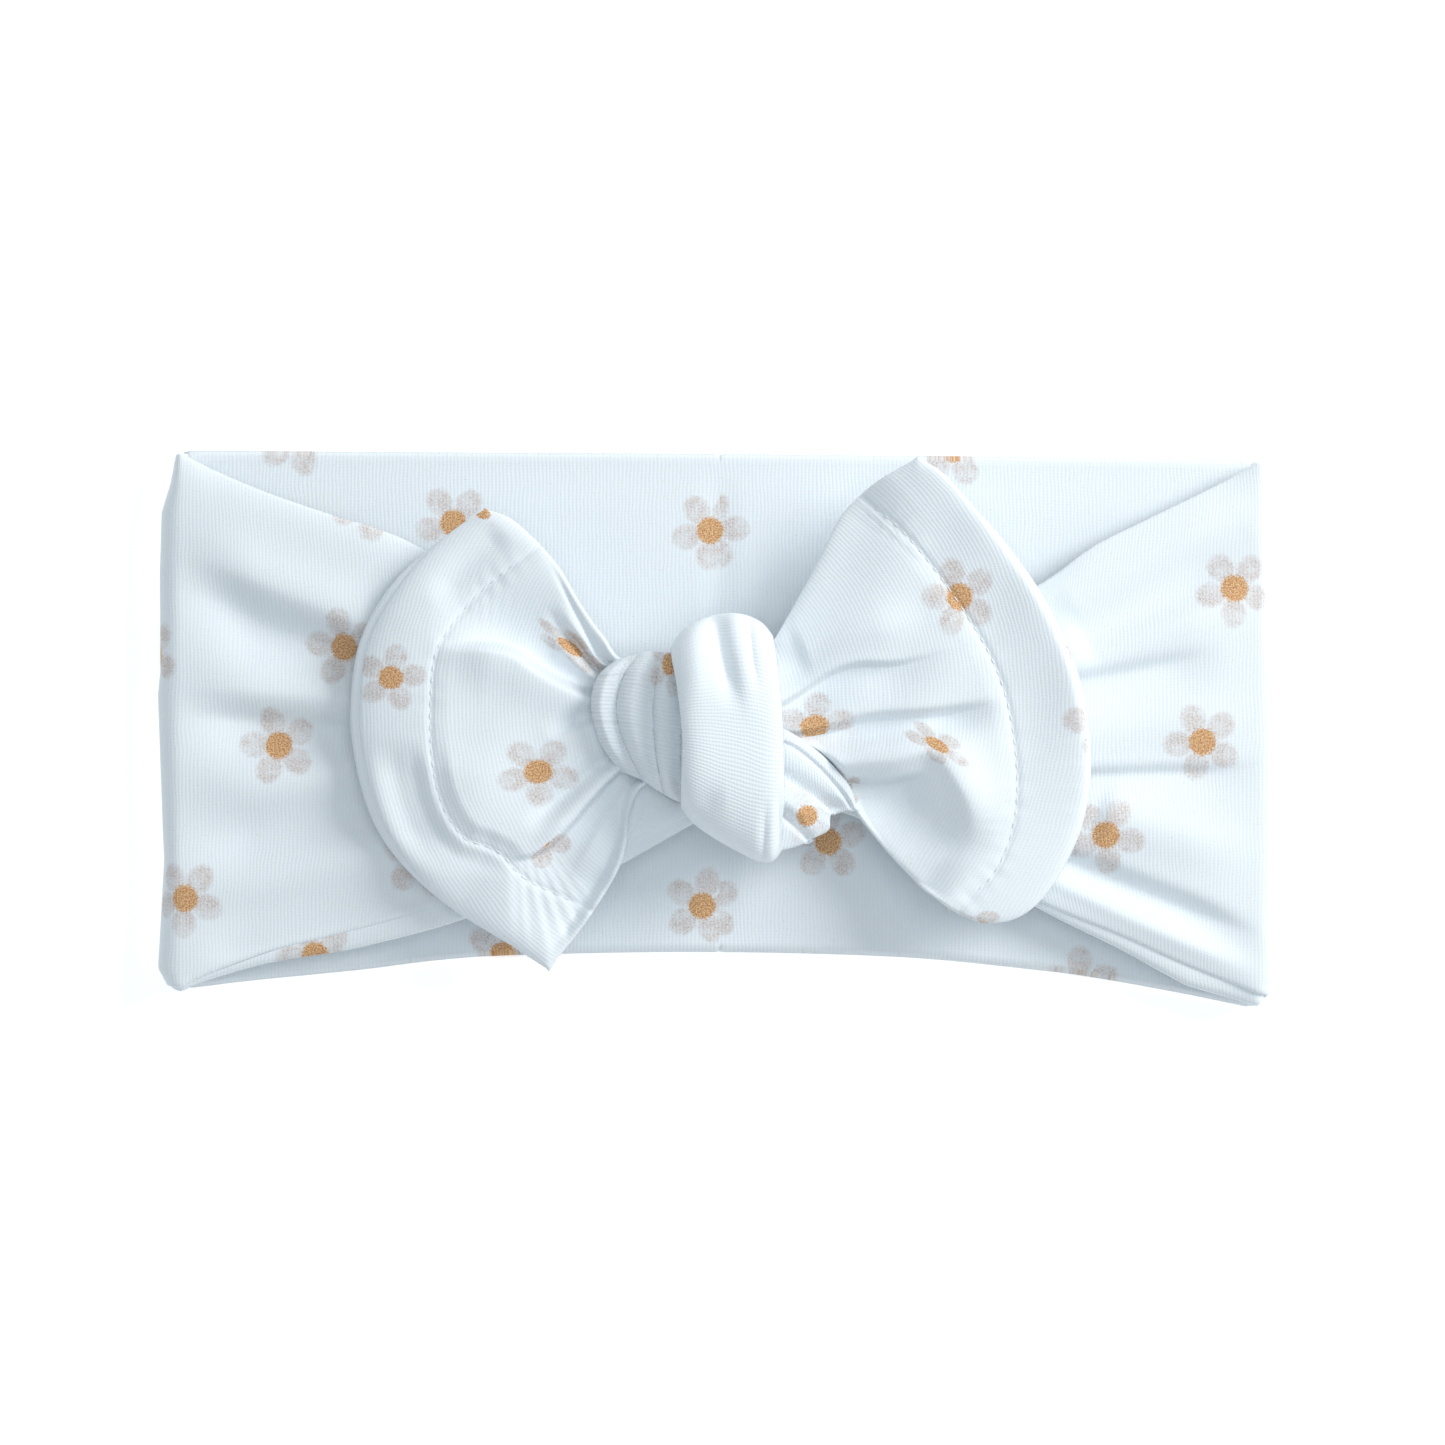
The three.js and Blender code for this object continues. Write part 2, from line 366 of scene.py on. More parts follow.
def cloth_piece(name, points, thickness, printed=None, ribs=None, turn_ribs=False, half=0):
    """A sheet of cloth with rounded edges. points is a grid on its upper face, in mm.

    It has two sets of coordinates, both in mm: "cloth" runs along and across the knit and carries the
    ribs, and "print" carries the daisies. ribs is a grid to measure the first ones on, when it isn't
    points. half is -1 or 1 for one of two halves that meet along their first rows."""
    rows, columns = points.shape[:2]
    up = normals(points)
    if up[..., 2].mean() < 0:
        up = -up
    under = points - up * thickness
    measured = points if ribs is None else ribs
    along, across = lengths(measured, 0), lengths(points, 1)
    across = across - across[:, [columns // 2]]
    along = along * (half or 1)
    cloth = np.stack([across, along] if turn_ribs else [along, across], 2)
    if printed is None:
        printed = points[..., :2]
    border = ring(rows, columns)
    rim = rounded_rim(points, under, up, border, thickness)
    vertices = np.vstack([points.reshape(-1, 3), under.reshape(-1, 3), rim])
    mesh = new_mesh(name, (vertices * MM).tolist(), sheet_faces(rows, columns, border).tolist())
    add_maps(mesh, cloth, printed, border)
    mesh.validate()
    smooth_and_point_out(mesh)
    if half:  # the rounded rim, hidden inside the other half, must not tilt the upper face's shading
        for line in mesh.edges:
            line.use_edge_sharp = max(line.vertices) < columns
    piece = new_object(name, mesh)
    return piece


def smooth_and_point_out(mesh):
    """Shade a mesh smoothly and make all its faces point out."""
    mesh.polygons.foreach_set("use_smooth", [True] * len(mesh.polygons))
    work = bmesh.new()
    work.from_mesh(mesh)
    bmesh.ops.recalc_face_normals(work, faces=work.faces)
    work.to_mesh(mesh)
    work.free()


# ---- The printed rib knit ----

RIB_PITCH = 0.62  # mm from rib to rib
COURSE_PITCH = 0.5  # mm from stitch to stitch along a rib
BUMP = 0.34
BUMP_DEPTH = 0.00008  # m
CENTRE_RADIUS = 2.05  # mm, of the daisy's ochre middle
PETAL_OUT = 3.9  # from the daisy's middle to a petal's middle
PETAL_HALF_LENGTH = 2.5
PETAL_HALF_WIDTH = 2.1

CLOTH = linear(243, 249, 253)
# Painted shade: the darker colour painted into the ribs' valleys, where shade falls between the ribs.
PAINTED_RIB_SHADE = linear(235, 242, 247)
PETAL = linear(224, 205, 194)
PETAL_DARK = linear(176, 158, 150)
OCHRE = linear(236, 192, 136)
OCHRE_DARK = linear(190, 128, 74)


def daisy_group():
    """One daisy, from a place in the print relative to its middle: how much petal and how much centre."""
    group = bpy.data.node_groups.new("daisy", "ShaderNodeTree")
    for socket, way, kind in [("Place", "INPUT", "Vector"), ("Turn", "INPUT", "Float"),
                              ("Petal", "OUTPUT", "Float"), ("Centre", "OUTPUT", "Float")]:
        group.interface.new_socket(socket, in_out=way, socket_type="NodeSocket" + kind)
    n = Nodes(group)
    given = n.add("NodeGroupInput")
    result = n.add("NodeGroupOutput")
    xyz = n.add("ShaderNodeSeparateXYZ", {0: given.outputs["Place"]})
    x, y = xyz.outputs[0], xyz.outputs[1]
    radius = n.math("SQRT", n.math("ADD", n.math("MULTIPLY", x, x), n.math("MULTIPLY", y, y)))
    angle = n.math("ADD", n.math("ARCTAN2", y, x), given.outputs["Turn"])
    # Five petals: the nearest one's own axes, along it and across it.
    turns = n.math("MULTIPLY", angle, 5 / (2 * math.pi))
    within = n.math("MULTIPLY", n.math("SUBTRACT", turns, n.math("ROUND", turns)), 2 * math.pi / 5)
    outward = n.math("SUBTRACT", n.math("MULTIPLY", radius, n.math("COSINE", within)), PETAL_OUT)
    sideways = n.math("MULTIPLY", radius, n.math("SINE", within))
    outward = n.math("MULTIPLY", outward, 1 / PETAL_HALF_LENGTH)
    sideways = n.math("MULTIPLY", sideways, 1 / PETAL_HALF_WIDTH)
    from_petal = n.math("ADD", n.math("MULTIPLY", outward, outward), n.math("MULTIPLY", sideways, sideways))
    petal = n.step(from_petal, 0.15, 1.7, 1.0, 0.0)
    centre = n.step(n.math("SUBTRACT", CENTRE_RADIUS, radius), -0.8, 0.7)
    n.give(result, {"Petal": petal, "Centre": centre})
    return group


DAISY = daisy_group()


def flower(x, y, wide=1.0, high=1.0, slant=0.0, hidden_below=None, petals=1.0):
    """A daisy's place in the print, its squeeze, its slant in degrees, how far below its middle another
    fold hides it, and the strength of its petals."""
    return x, y, wide, high, slant, hidden_below, petals


def rib_relief(n, cloth):
    """Ribs, a little uneven, each made of small stitches: the ribs alone, the fibres and the height."""
    xyz = n.add("ShaderNodeSeparateXYZ", {0: cloth})
    along, across = xyz.outputs[0], xyz.outputs[1]
    drift = n.math("MULTIPLY", n.noise(cloth, 0.12), 2.2)
    rib_turns = n.math("ADD", n.math("MULTIPLY", along, 1 / RIB_PITCH), drift)
    rib = n.math("POWER", n.wave(rib_turns), 0.7)
    course_turns = n.math("ADD", n.math("MULTIPLY", across, 1 / COURSE_PITCH), n.noise(cloth, 0.9))
    course = n.wave(course_turns)
    fibre = n.noise(cloth, 4.5, 3.0)
    height = n.math("MULTIPLY_ADD", course, 0.3, rib)
    height = n.math("MULTIPLY_ADD", fibre, 0.8, height)
    return rib, fibre, height


def flowers(n, printed, daisies):
    """How much petal and how much centre the print has at a place, over all its daisies."""
    petal = centre = None
    for index, entry in enumerate(daisies):
        x, y, wide, high, slant, hidden_below, strength = flower(*entry)
        place = n.add("ShaderNodeVectorMath", {0: printed, 1: (x, y, 0)}, operation="SUBTRACT").outputs[0]
        if slant:
            turned = {"Vector": place, "Angle": -math.radians(slant)}
            place = n.add("ShaderNodeVectorRotate", turned, rotation_type="Z_AXIS").outputs[0]
        up_from_middle = n.add("ShaderNodeSeparateXYZ", {0: place}).outputs[1]
        stretch = (1 / wide, 1 / high, 1)
        place = n.add("ShaderNodeVectorMath", {0: place, 1: stretch}, operation="MULTIPLY").outputs[0]
        daisy = n.add("ShaderNodeGroup", {"Place": place, "Turn": 1.7 * index + 0.05 * x}, node_tree=DAISY)
        own_petal, own_centre = daisy.outputs[0], daisy.outputs[1]
        if strength != 1:
            own_petal = n.math("MULTIPLY", own_petal, strength)
        if hidden_below is not None:
            seen = n.step(up_from_middle, -hidden_below - 0.1, -hidden_below + 0.1)
            own_petal = n.math("MULTIPLY", own_petal, seen)
            own_centre = n.math("MULTIPLY", own_centre, seen)
        petal = own_petal if petal is None else n.math("MAXIMUM", petal, own_petal)
        centre = own_centre if centre is None else n.math("MAXIMUM", centre, own_centre)
    return petal, centre


def ink_on(n, colour, printed, petal, centre):
    """The cloth's colour with the print on it: grains of ink, thinning out at the petals' tips."""
    grain = n.noise(printed, 3.9, 1.0)
    patchy = n.noise(printed, 0.42, 2.0)
    ragged = n.math("MULTIPLY_ADD", n.noise(printed, 1.9, 2.0), 0.9, n.math("SUBTRACT", petal, 0.45))
    cover = n.math("MULTIPLY", n.step(ragged, 0.12, 0.95), n.step(patchy, 0.32, 0.62, 0.5, 1.0))
    cover = n.math("MULTIPLY", cover, n.step(petal, 0.0, 0.25))
    wash = n.math("MULTIPLY_ADD", n.step(n.noise(printed, 2.6, 2.0), 0.38, 0.62), 0.3, 0.42)
    ink = n.blend(n.step(grain, 0.42, 0.64), PETAL, PETAL_DARK)
    colour = n.blend(n.math("MULTIPLY", cover, wash), colour, ink)
    ochre = n.blend(n.step(grain, 0.38, 0.62), OCHRE, OCHRE_DARK)
    centre_ink = n.step(n.math("MULTIPLY_ADD", centre, 0.8, n.noise(printed, 3.2, 1.0)), 0.6, 1.1)
    colour = n.blend(n.math("MULTIPLY", centre_ink, 0.94), colour, ochre)
    return colour

def knit(name, daisies, pulled=1.0):
    """White rib knit, printed with daisies at these places in the print, in mm, with painted shade in the
    ribs' valleys. Where it is pulled tight the ribs stand out more, with deeper bumps and darker painted
    shade."""
    material, n, shader = new_material(name)
    cloth = n.add("ShaderNodeUVMap", uv_map="cloth").outputs[0]
    printed = n.add("ShaderNodeUVMap", uv_map="print").outputs[0]
    rib, fibre, height = rib_relief(n, cloth)
    bump = n.add("ShaderNodeBump", {"Strength": BUMP * pulled, "Distance": BUMP_DEPTH, "Height": height})

    # Painted shade: the ribs' valleys are painted darker, the more so where the knit is pulled tight.
    shade = n.math("MULTIPLY", rib, n.step(fibre, 0.3, 0.7, 0.7, 1.0))
    valley = tuple(top - (top - low) * (0.5 + 0.5 * pulled) for top, low in zip(CLOTH, PAINTED_RIB_SHADE))
    colour = n.blend(n.math("MULTIPLY_ADD", shade, 0.6, 0.4), valley, CLOTH)
    if daisies:
        colour = ink_on(n, colour, printed, *flowers(n, printed, daisies))
    n.give(shader, {"Base Color": colour, "Normal": bump.outputs[0], "Roughness": 0.9,
                    "Specular IOR Level": 0.2, "Sheen Weight": 0.05, "Sheen Roughness": 0.5})
    return material


def dress(piece, material):
    piece.data.materials.clear()
    piece.data.materials.append(material)
    return piece


# ---- Driving dimensions, from the frame ----

joints = {joint["name"]: joint for joint in frame["record"]["behaviour"]["joints"]}
FOLD_X = joints["right_side_fold"]["pos_m"][0] / MM  # axis of each side fold
FOLD_Z = joints["right_side_fold"]["pos_m"][2] / MM
FOLD_RADIUS = FOLD_Z
PLY = 0.7  # one layer of knit
TUBE = 1.7  # two layers lying together

# ---- The back of the band ----

BACK_TOP = [(-FOLD_X, 44.4), (0, 43.9), (FOLD_X, 43.0)]
BACK_BOTTOM = [(-FOLD_X, -41.2), (-75.6, -39.9), (-58.5, -38.2), (-45.5, -36.6), (-32.7, -35.8),
               (-3, -35.3), (28.9, -36.1), (51.3, -38.2), (61.8, -39.6), (75.1, -42), (FOLD_X, -44.3)]
BACK_DAISIES = [(-43.1, 33.4), (-1.5, 32.2), (38, 45.4), (-68.7, 47.2), (-2.8, -28.6), (17.6, -18.2),
                (-35.1, -36.6), (58.5, -41.5), (-62, 6), (30, 8), (68, 12)]


def back_points(side):
    """The upper face of half the back, from the middle out to the side fold."""
    count_u, count_v = 110, 100
    x = side * np.linspace(0, FOLD_X, count_u)
    high = read_off(BACK_TOP, x)
    low = read_off(curve(BACK_BOTTOM, 300), x)
    plan = plan_grid(x, low, high, count_v)
    y = plan[..., 1]
    edge = np.minimum(y - low[:, None], high[:, None] - y)
    z = TUBE + 0.35 * smooth(edge, 0, 9) + 0.22 * wander(plan, 38, 3) * smooth(edge, 0, 12)
    flat_at_ends = smooth(np.abs(x), 0, 4) * (1 - smooth(np.abs(x), FOLD_X - 5, FOLD_X))
    z = TUBE + (z - TUBE) * flat_at_ends[:, None]
    return np.dstack([plan, z])


def make_back(side, word):
    piece = cloth_piece(word + "_back_panel", back_points(side), TUBE, half=side)
    dress(piece, knit(word + "_back_knit", [d for d in BACK_DAISIES if side * d[0] > -8]))
    # The underside lies on the table.
    for vertex in piece.data.vertices:
        vertex.co.z = max(vertex.co.z, 0.0)
    return piece


# ---- The arms ----

ARM_OUTLINES = {
    "left": {
        "top": [(-FOLD_X, 44), (-79.9, 40.9), (-71.3, 37.4), (-60.7, 33.8), (-55.9, 32.4), (-47.3, 28.6),
                (-34, 19), (-20.4, 6.3), (-4, 1)],
        "bottom": [(-FOLD_X, -41.2), (-84, -39.9), (-73, -35.6), (-62.7, -33), (-52.9, -30.5),
                   (-44.2, -27.9), (-30, -23), (-15.1, -17.7), (-5.7, -14), (-4, -13.4)],
        "inner_drop": [(-FOLD_X, 0.6), (-75, 1.6), (-60, 3), (-44, 3.4), (-16, 3.6), (-4, 1.5)],
    },
    "right": {
        "top": [(FOLD_X, 42.6), (79.9, 39.1), (68.4, 33.5), (59.9, 29.2), (51.3, 23.1), (36, 15), (20, 8),
                (9.7, 4.7), (4, 3)],
        "bottom": [(FOLD_X, -42.2), (75.1, -37.8), (64.6, -33), (51.3, -27.4), (36, -19.5), (22.2, -12.6),
                   (12, -9.4), (4, -8)],
        "inner_drop": [(FOLD_X, 2), (75, 3.2), (64, 2.2), (51, 1.2), (20, 1.5), (4, 1)],
    },
}

SIDE_EDGES = {  # how far out each side fold reaches, from its upper end to its lower one
    "left": [(87.6, 44.4), (88.5, 39.8), (90, 35), (90.3, 25), (90.2, 9.4), (90.6, 5.5), (89.8, -16.7),
             (89.6, -21), (90.2, -31.8), (90.6, -38.5), (89, -41.4)],
    "right": [(88.8, 43), (89.2, 29), (89.5, 17.7), (90.3, 6.3), (90.7, -6), (90.6, -20.9), (89.8, -31.4),
              (90.5, -36.7), (90.2, -40), (87.6, -44.4)],
}

ARM_FOLDS = {  # soft folds, shallow at the side fold and gathered towards the knot
    "left": [
        ([(-94, 30.5), (-82, 27.4), (-72, 23.4), (-60, 18.4), (-44, 12)], 1.5, 5, 3, 0, 0.1),
        ([(-94, 22.4), (-82, 20.4), (-72, 15.6), (-60, 11.4), (-42, 5)], -2.5, 3.4, 6, 0.05, 0.1),
        ([(-93, 7.6), (-72, 6.2), (-54, 5.2), (-42, 4.4)], 0.9, 4.4, 2, 0.05, 0.1),
        ([(-93, 2.2), (-82, 1.4), (-72, 0.6), (-62, -0.2), (-48, -1.8)], -2.6, 2.4, 6.5, 0.12, 0.05),
        ([(-92, -9), (-76, -8.4), (-60, -6.6), (-46, -6)], 0.8, 4, 4.5, 0.1, 0.1),
        ([(-93, -20), (-74, -17), (-56, -12), (-42, -9)], -2, 5, 8, 0.1, 0.1),
        ([(-93, -27.5), (-76, -24.4), (-48, -17)], 0.9, 3.6, 4, 0.05, 0.1),
        ([(-92, -34), (-76, -30.6), (-60, -26.6), (-44, -22)], -1, 4, 4, 0.1, 0.1),
        ([(-86, -38), (-64, -31.8), (-44, -25.5)], -1.1, 3.2, 1.6, 0.2, 0.1),
    ],
    "right": [
        ([(88, 37.5), (70, 28), (54, 18)], 0.6, 3.5, 3.5, 0.15, 0.1),
        ([(88, 30), (76.9, 24.5), (56, 13.2)], -1.3, 3.6, 4.4, 0.1, 0.1),
        ([(90, 22), (76, 17.5), (56, 10.2), (46, 7)], 1.2, 4, 2.6, 0.15, 0.1),
        ([(82, 12.6), (70, 9.8), (54, 6.8), (44, 5)], -1.2, 4, 1.6, 0.3, 0.1),
        ([(92, 3), (74, 1), (52, -0.5)], 0.7, 4, 4, 0.15, 0.1),
        ([(93, -4.6), (82, -6.8), (70, -7.2), (54, -7.8)], -1.4, 3.6, 1.2, 0.2, 0.1),
        ([(92, -20), (76, -17.5), (60, -13)], 1.2, 5, 4, 0.1, 0.1),
        ([(93, -36.5), (76.9, -29.6), (66.2, -25.4), (50, -19)], -2.4, 4.6, 1.8, 0.05, 0.1),
        ([(92, -41), (76, -34.4), (62, -28), (48, -21)], 1.2, 1.8, 2.2, 0.05, 0.1),
    ],
}

SWING_FROM = 22.0  # mm from the middle: where an arm starts to be drawn back inside the knot
SWING_END = 9.0  # and where it then ends
ARM_LIFT = 4.0  # mm that an arm rises from its side fold to the knot
PLEATS = 6.5  # across its end at the knot
PLEAT_HEIGHT = 1.3
FOLD_PLIES_APART = 1.0  # mm between the two layers where they go round a side fold


def arm_relief(word, plan, stations, inward, low, high):
    """An arm's folds, pleats and turned-down edges, as heights over its plain course. inward is how far
    each line is from the side fold, as a share of the way to the knot."""
    y, v = plan[..., 1], np.linspace(0, 1, plan.shape[1])
    from_low, from_high = y - low[:, None], high[:, None] - y
    gather = smooth(inward, 0.42, 1.0)
    under_tail = 1 - 0.5 * smooth(inward, 0.42, 0.6)
    relief = folds(plan, ARM_FOLDS[word]) * (smooth(stations, -2, 12) * under_tail)[:, None]
    relief = relief + 0.3 * wander(plan, 30, 11) * smooth(stations, 0, 20)[:, None]
    pleats = np.cos(2 * math.pi * (PLEATS * v[None] + 0.2)) * smooth(from_low, 5, 12)
    relief = relief + PLEAT_HEIGHT * gather[:, None] * pleats
    settled = smooth(stations, -4, 6)[:, None]
    relief = relief - 0.8 * np.exp(-from_low / 1.4) * settled
    relief = relief - 1.7 * np.exp(-from_high / 2.8) * settled
    return relief


def arm_points(word, ply, count_along, count_across):
    """The upper face of an arm's outer layer (ply 0) or inner layer (ply 1), with its side fold."""
    side = SIDES[word]
    outline = ARM_OUTLINES[word]
    radius = FOLD_RADIUS - ply * FOLD_PLIES_APART
    end_x = abs(outline["top"][-1][0])
    reach = FOLD_X - end_x
    bend = math.pi * radius
    stations = np.linspace(-bend, reach, count_along)
    d = np.clip(stations, 0, None)
    x = side * (FOLD_X - d)
    high, low = (read_off(curve(outline[edge], 200), x) for edge in ("top", "bottom"))
    # The fold's two ends meet the back's own edges.
    turned = smooth(-stations, 0, bend)
    high = high + (read_off(BACK_TOP, side * FOLD_X) - high) * turned
    low = low + (read_off(BACK_BOTTOM, side * FOLD_X) - low) * turned
    if ply:
        low = low - read_off(outline["inner_drop"], x) * (1 - turned)
    plan = plan_grid(x, low, high, count_across)
    y = plan[..., 1]
    angle = np.clip(-stations / radius, 0, math.pi)
    rise = FOLD_Z + radius * np.cos(angle)
    bulge = radius * np.sin(angle)
    inward = d / reach
    z = (rise + ARM_LIFT * inward)[:, None] + arm_relief(word, plan, stations, inward, low, high)
    outermost = read_off([(up, out) for out, up in SIDE_EDGES[word]], y) - FOLD_X
    px = x[:, None] + side * bulge[:, None] * outermost / FOLD_RADIUS
    # Inside the knot the end is drawn back, except along a low edge that shows.
    into_knot = np.clip((SWING_FROM - np.abs(x)) / (SWING_FROM - end_x), 0, 1)[:, None]
    px = px + side * (SWING_END - end_x) * into_knot * smooth(y, -13.5, -10)
    points = np.dstack([px, y, z])
    printed = np.dstack([np.repeat((side * (FOLD_X - stations))[:, None], count_across, 1), y])
    return points, printed


ARM_DAISIES = {
    "left": [(-60.2, 13.2), (-70.8, -2.6), (-85.8, -27.1), (-93.2, 11.9), (-56.2, 36.4), (-47.8, -20.8)],
    "right": [(82.6, 22.6), (77.4, -2), (61.8, -16.9)],
}
INNER_DAISIES = {"left": [(-64.9, -36.3), (-40, 4)], "right": [(48, -6), (70, 10)]}


def make_arm(word):
    pieces = []
    materials = [knit(word + "_arm_knit", ARM_DAISIES[word]),
                 knit(word + "_arm_inner_knit", INNER_DAISIES[word])]
    for ply, label, cells in [(0, "_arm_outer", (150, 140)), (1, "_arm_inner", (90, 80))]:
        points, printed = arm_points(word, ply, *cells)
        flat = np.dstack([printed, 0 * points[..., 2]])
        piece = dress(cloth_piece(word + label, points, PLY, printed, flat), materials[ply])
        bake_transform(piece)
        pieces.append(piece)
    return pieces


# ---- The tails ----

HEM = 10.4  # mm from a tail's end to its stitching
STITCH_GROOVE = 0.28
HEM_UNEVEN = 0.11

TAILS = {
    "left": {
        "root": [(-10.5, -7.5), (-12, 1), (-13.5, 9.6)],
        "end": [(-27.1, -38.2), (-32.7, -34.6), (-41.3, -29.2), (-47.8, -23.1), (-52.4, -16.7),
                (-55.4, -9.4), (-57, -1.2), (-57.1, 4.7), (-56.3, 11.8), (-54.4, 17.2), (-50.6, 23.1),
                (-46.4, 28), (-42, 31.9), (-37.3, 35)],
        "lower": [(-10.5, -7.5), (-13.3, -9.6), (-14.8, -13.5), (-15.3, -17.8), (-16.8, -22.5),
                  (-21, -29.4), (-24.7, -34.6), (-27.1, -38.2)],
        "upper": [(-13.5, 9.6), (-16.7, 11.5), (-18.4, 14.2), (-20.5, 17.2), (-22.9, 21), (-26, 26.2),
                  (-29.9, 30.6), (-33.6, 33.7), (-37.3, 35)],
        "stitched": [(-22.8, -27.6), (-26.6, -25.9), (-31, -23.6), (-34.5, -19.8), (-37.1, -18.4),
                     (-40.9, -16.8), (-44.5, -10.2), (-45.8, -0.3), (-45.2, 11), (-42.6, 16.2),
                     (-39.3, 20.4), (-35.4, 23.9), (-31, 27.3)],
        "daisies": [(-52.1, 8.2, 0.9, 0.85), (-28.7, -6.7, 1.05, 0.88), (-23.8, 13.1, 1.1, 0.36, -37),
                    (-37.6, 34.3, 0.6, 0.4, -20, None, 0.3), (-28.3, -17.2, 0.75, 0.75, 220, -1.3, 1.6)],
        # Heights: where it leaves the knot, its fullest, at the stitching and at the end.
        "heights": (15.6, 16.9, 16.4, 14.9),
        # Beside the lower left of the stitching: the rise inside it and the fall beyond it.
        "bulge": (0.8, 1.5),
        "curl": (-0.1, 0),  # where along the stitching the end starts to turn up or down, as shares
    },
    "right": {
        "root": [(8, -1.5), (7.5, 6), (6, 12.5)],
        "end": [(36.2, -28.3), (39.6, -30), (42.7, -30.7), (46.4, -30.2), (50, -28), (53.6, -23.4),
                (56.5, -17.2), (57.9, -11.7), (58.4, -5.1), (57.8, 1.6), (56.2, 8.8), (53.6, 15.5),
                (50, 22.1), (45.4, 28.6), (40.3, 34.8), (35.4, 40.4), (31.3, 42.9)],
        "lower": [(8, -1.5), (12.8, -1.9), (15.4, -3.2), (18.4, -5.9), (20.6, -9.4), (21.9, -12.8),
                  (24.6, -16.8), (27.9, -20.8), (32, -24.9), (36.2, -28.3)],
        "upper": [(6, 12.5), (8.3, 13.7), (11.9, 19.7), (15.6, 26.4), (18.2, 31.8), (20.6, 35.4),
                  (25.2, 39.4), (31.3, 42.9)],
        "stitched": [(40.3, -26.2), (43.7, -22.6), (46.1, -17.2), (47.1, -11.1), (46.9, -3.2), (45.4, 5.2),
                     (42.8, 11.9), (39.3, 17.9), (35.5, 23.5), (31.9, 28.2), (28, 32.4), (23.8, 36)],
        "daisies": [(38, 21, 0.95, 1), (15.1, 0.45, 1.05, 0.85, 10, 1.45), (34.4, -2.4, 0.95, 0.4, -32),
                    (60.6, 1.6), (41.2, -31.4, 0.9, 0.45), (19.6, -9.6, 0.5, 0.5)],
        "heights": (16.2, 17, 16.6, 18.8),
        "bulge": (0, 0),
        "curl": (0.2, 0.5),
    },
}

TAIL_BACK_DAISIES = {"left": [(-36, 14)], "right": [(50, 12), (34, -12)]}

TAIL_FOLDS = {
    "left": [
        # The upper flap falls into a hollow, which ends at the round top edge of the main lobe.
        ([(-12, 4.6), (-20, 6.5), (-24.4, 8.4), (-28.6, 10.9), (-32, 13.4), (-37.4, 14.4), (-46, 13.8)],
          -3.5, 1.1, 8.0, 0, 0.36),
        ([(-12, 2.6), (-20, 4.4), (-24, 6.2), (-28.8, 8.7), (-32.6, 11.1), (-38, 12.2), (-44, 11.2)],
          1.3, 5.0, 1.5, 0.1, 0.25),
        # Rolled edges beside the knot, with a deep slot between them.
        ([(-13, 7.4), (-18.9, 9.4), (-20.5, 10.9), (-22.7, 13.8), (-25, 16.4), (-28, 19.6)],
          -2.5, 1.0, 0.6, 0, 0.5),
        ([(-13, 8.6), (-19.4, 10.9), (-21.4, 13.6), (-23.4, 16.8), (-26.4, 21.6)], 0.5, 0.9, 0.7, 0, 0.4),
        ([(-13, 9), (-18.2, 10.8), (-19.9, 13.2), (-21.3, 16.2), (-23.4, 20), (-26.2, 25.4),
          (-28.4, 29)], -0.8, 0.45, 0.4, 0, 0.45),
        ([(-14, 7.2), (-19, 8.2), (-23.6, 11.4), (-28, 15.4)], 1.3, 1.1, 1.3, 0, 0.35),
        # A dent between the lobe's round edge and the cloth that fans out of the knot.
        ([(-13, 3.2), (-17, 3), (-21, 2.2), (-24.2, 0.8), (-27.5, -1.4)], -1.9, 1.3, 2, 0, 0.4),
        # The long soft folds of the lower part, and a shallow dip across the upper one.
        ([(-14, -4.6), (-18.2, -7.6), (-22.6, -12.2), (-26.4, -16), (-30, -18)], 0.9, 1.2, 1.6, 0, 0.3),
        ([(-13, -2.6), (-16.7, -4.2), (-22.4, -8.4), (-27, -12.4), (-31, -15.6)], -1.5, 1.6, 1.6, 0, 0.3),
        ([(-14.2, -9.4), (-17.6, -14.2), (-21.4, -20.4), (-24.6, -26)], 1.1, 2, 1.2, 0, 0.5),
        ([(-34, 32), (-40, 27), (-46, 20)], -0.9, 3, 3, 0.2, 0.3),
    ],
    "right": [
        # Each layer that leaves the knot ends in a narrow wall, over the next one.
        ([(6, 1.2), (9.4, 3), (12.5, 4.8), (17.5, 8.2), (21.9, 9.8), (27.5, 9.9), (32.4, 11),
          (38, 12.6)], -2.4, 0.65, 4.5, 0, 0.6),
        ([(6, 5.6), (9.1, 6.9), (11.3, 8.8), (16.9, 13.7), (22, 18)], -0.35, 1.4, 2.4, 0, 0.6),
        ([(7, -1.9), (12.8, -1.6), (18.1, -0.7), (22.5, 0.8), (26.8, 1.4), (31.8, 1.7), (36.8, 2.3),
          (45, 4.2)], -3.2, 1, 3.6, 0, 0.3),
        ([(12, -4.4), (18, -5), (26, -4.8), (33.4, -3.2), (37.8, -8.2), (40.4, -14), (40, -20)],
          2.4, 4.2, 2.3, 0, 0.3),
        ([(17, -7.6), (20, -8.6), (26.2, -8.9), (30.6, -8), (33.4, -6.6)], -2.6, 0.7, 4.5, 0, 0.3),
        ([(20, -12.5), (26, -12.4), (31, -13.4), (34.6, -17), (36.6, -22)], -2, 3.6, 5, 0.5, 0.3),
        ([(12, 12), (22, 15.6), (33, 18)], 1, 3.6, 3, 0.1, 0.4),
    ],
}
